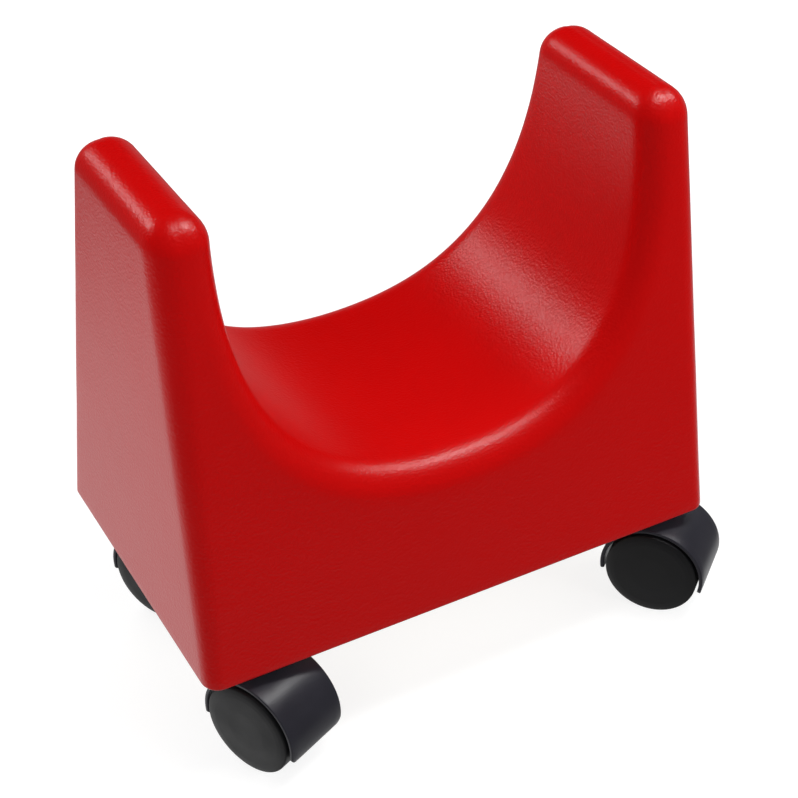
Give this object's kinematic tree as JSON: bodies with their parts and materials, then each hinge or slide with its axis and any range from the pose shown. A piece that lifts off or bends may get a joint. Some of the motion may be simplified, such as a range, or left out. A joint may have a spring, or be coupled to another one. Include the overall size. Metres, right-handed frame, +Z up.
{
  "type": "rolling saddle stool",
  "caption": "Low moulded foam stool with a U-shaped saddle between two flat-topped horns, red skin, on swivelling twin-wheel casters.",
  "frame": {"origin": "on the floor, at the centre of the whole footprint at rest, casters included; the block's own middle is 7.4 mm to the -X side", "axes": "+Z up; +X along the block from the left horn to the right one; -Y is the front"},
  "size_m": [0.3048, 0.2246, 0.2888],
  "materials": {
    "red_foam_skin": "satin, fine leather grain, self-skinned polyurethane foam",
    "birch_plywood": "sanded, unvarnished",
    "black_nylon_hood": "satin moulded nylon",
    "black_nylon_wheel": "fine matt moulded nylon",
    "zinc_plate": "bright zinc plated",
    "bright_steel": "turned",
    "spring_steel": "oiled"
  },
  "bodies": {
    "block": {"saddle_block": "red_foam_skin", "base_board": "birch_plywood", "front_left_mounting_plate": "zinc_plate", "front_left_swivel_pin": "bright_steel", "front_left_retaining_clip": "spring_steel", "front_left_screw_1": "zinc_plate", "front_left_screw_2": "zinc_plate", "front_left_screw_3": "zinc_plate", "front_left_screw_4": "zinc_plate", "front_right_mounting_plate": "zinc_plate", "front_right_swivel_pin": "bright_steel", "front_right_retaining_clip": "spring_steel", "front_right_screw_1": "zinc_plate", "front_right_screw_2": "zinc_plate", "front_right_screw_3": "zinc_plate", "front_right_screw_4": "zinc_plate", "rear_left_mounting_plate": "zinc_plate", "rear_left_swivel_pin": "bright_steel", "rear_left_retaining_clip": "spring_steel", "rear_left_screw_1": "zinc_plate", "rear_left_screw_2": "zinc_plate", "rear_left_screw_3": "zinc_plate", "rear_left_screw_4": "zinc_plate", "rear_right_mounting_plate": "zinc_plate", "rear_right_swivel_pin": "bright_steel", "rear_right_retaining_clip": "spring_steel", "rear_right_screw_1": "zinc_plate", "rear_right_screw_2": "zinc_plate", "rear_right_screw_3": "zinc_plate", "rear_right_screw_4": "zinc_plate"},
    "front_left_caster": {"front_left_hood": "black_nylon_hood", "front_left_axle": "bright_steel"},
    "front_left_outer_wheel": {"front_left_wheel_outer": "black_nylon_wheel"},
    "front_left_inner_wheel": {"front_left_wheel_inner": "black_nylon_wheel"},
    "front_right_caster": {"front_right_hood": "black_nylon_hood", "front_right_axle": "bright_steel"},
    "front_right_outer_wheel": {"front_right_wheel_outer": "black_nylon_wheel"},
    "front_right_inner_wheel": {"front_right_wheel_inner": "black_nylon_wheel"},
    "rear_left_caster": {"rear_left_hood": "black_nylon_hood", "rear_left_axle": "bright_steel"},
    "rear_left_outer_wheel": {"rear_left_wheel_outer": "black_nylon_wheel"},
    "rear_left_inner_wheel": {"rear_left_wheel_inner": "black_nylon_wheel"},
    "rear_right_caster": {"rear_right_hood": "black_nylon_hood", "rear_right_axle": "bright_steel"},
    "rear_right_outer_wheel": {"rear_right_wheel_outer": "black_nylon_wheel"},
    "rear_right_inner_wheel": {"rear_right_wheel_inner": "black_nylon_wheel"}
  },
  "joints": [
    {"name": "front_left_swivel", "type": "hinge", "parent": "block", "child": "front_left_caster", "pos_m": [-0.1231, -0.0615, 0.0568], "axis": [0, 0, 1], "continuous": true},
    {"name": "front_left_outer_roll", "type": "hinge", "parent": "front_left_caster", "child": "front_left_outer_wheel", "pos_m": [-0.11548, -0.07902, 0.025], "axis": [-0.9171, -0.3987, 0], "continuous": true},
    {"name": "front_left_inner_roll", "type": "hinge", "parent": "front_left_caster", "child": "front_left_inner_wheel", "pos_m": [-0.11548, -0.07902, 0.025], "axis": [-0.9171, -0.3987, 0], "continuous": true},
    {"name": "front_right_swivel", "type": "hinge", "parent": "block", "child": "front_right_caster", "pos_m": [0.1083, -0.0615, 0.0568], "axis": [0, 0, 1], "continuous": true},
    {"name": "front_right_outer_roll", "type": "hinge", "parent": "front_right_caster", "child": "front_right_outer_wheel", "pos_m": [0.12019, -0.07645, 0.025], "axis": [-0.7826, -0.6225, 0], "continuous": true},
    {"name": "front_right_inner_roll", "type": "hinge", "parent": "front_right_caster", "child": "front_right_inner_wheel", "pos_m": [0.12019, -0.07645, 0.025], "axis": [-0.7826, -0.6225, 0], "continuous": true},
    {"name": "rear_left_swivel", "type": "hinge", "parent": "block", "child": "rear_left_caster", "pos_m": [-0.1231, 0.0615, 0.0568], "axis": [0, 0, 1], "continuous": true},
    {"name": "rear_left_outer_roll", "type": "hinge", "parent": "rear_left_caster", "child": "rear_left_outer_wheel", "pos_m": [-0.1137, 0.04488, 0.025], "axis": [-0.8704, -0.4924, 0], "continuous": true},
    {"name": "rear_left_inner_roll", "type": "hinge", "parent": "rear_left_caster", "child": "rear_left_inner_wheel", "pos_m": [-0.1137, 0.04488, 0.025], "axis": [-0.8704, -0.4924, 0], "continuous": true},
    {"name": "rear_right_swivel", "type": "hinge", "parent": "block", "child": "rear_right_caster", "pos_m": [0.1083, 0.0615, 0.0568], "axis": [0, 0, 1], "continuous": true},
    {"name": "rear_right_outer_roll", "type": "hinge", "parent": "rear_right_caster", "child": "rear_right_outer_wheel", "pos_m": [0.09963, 0.07852, 0.025], "axis": [0.891, 0.454, 0], "continuous": true},
    {"name": "rear_right_inner_roll", "type": "hinge", "parent": "rear_right_caster", "child": "rear_right_inner_wheel", "pos_m": [0.09963, 0.07852, 0.025], "axis": [0.891, 0.454, 0], "continuous": true}
  ]
}
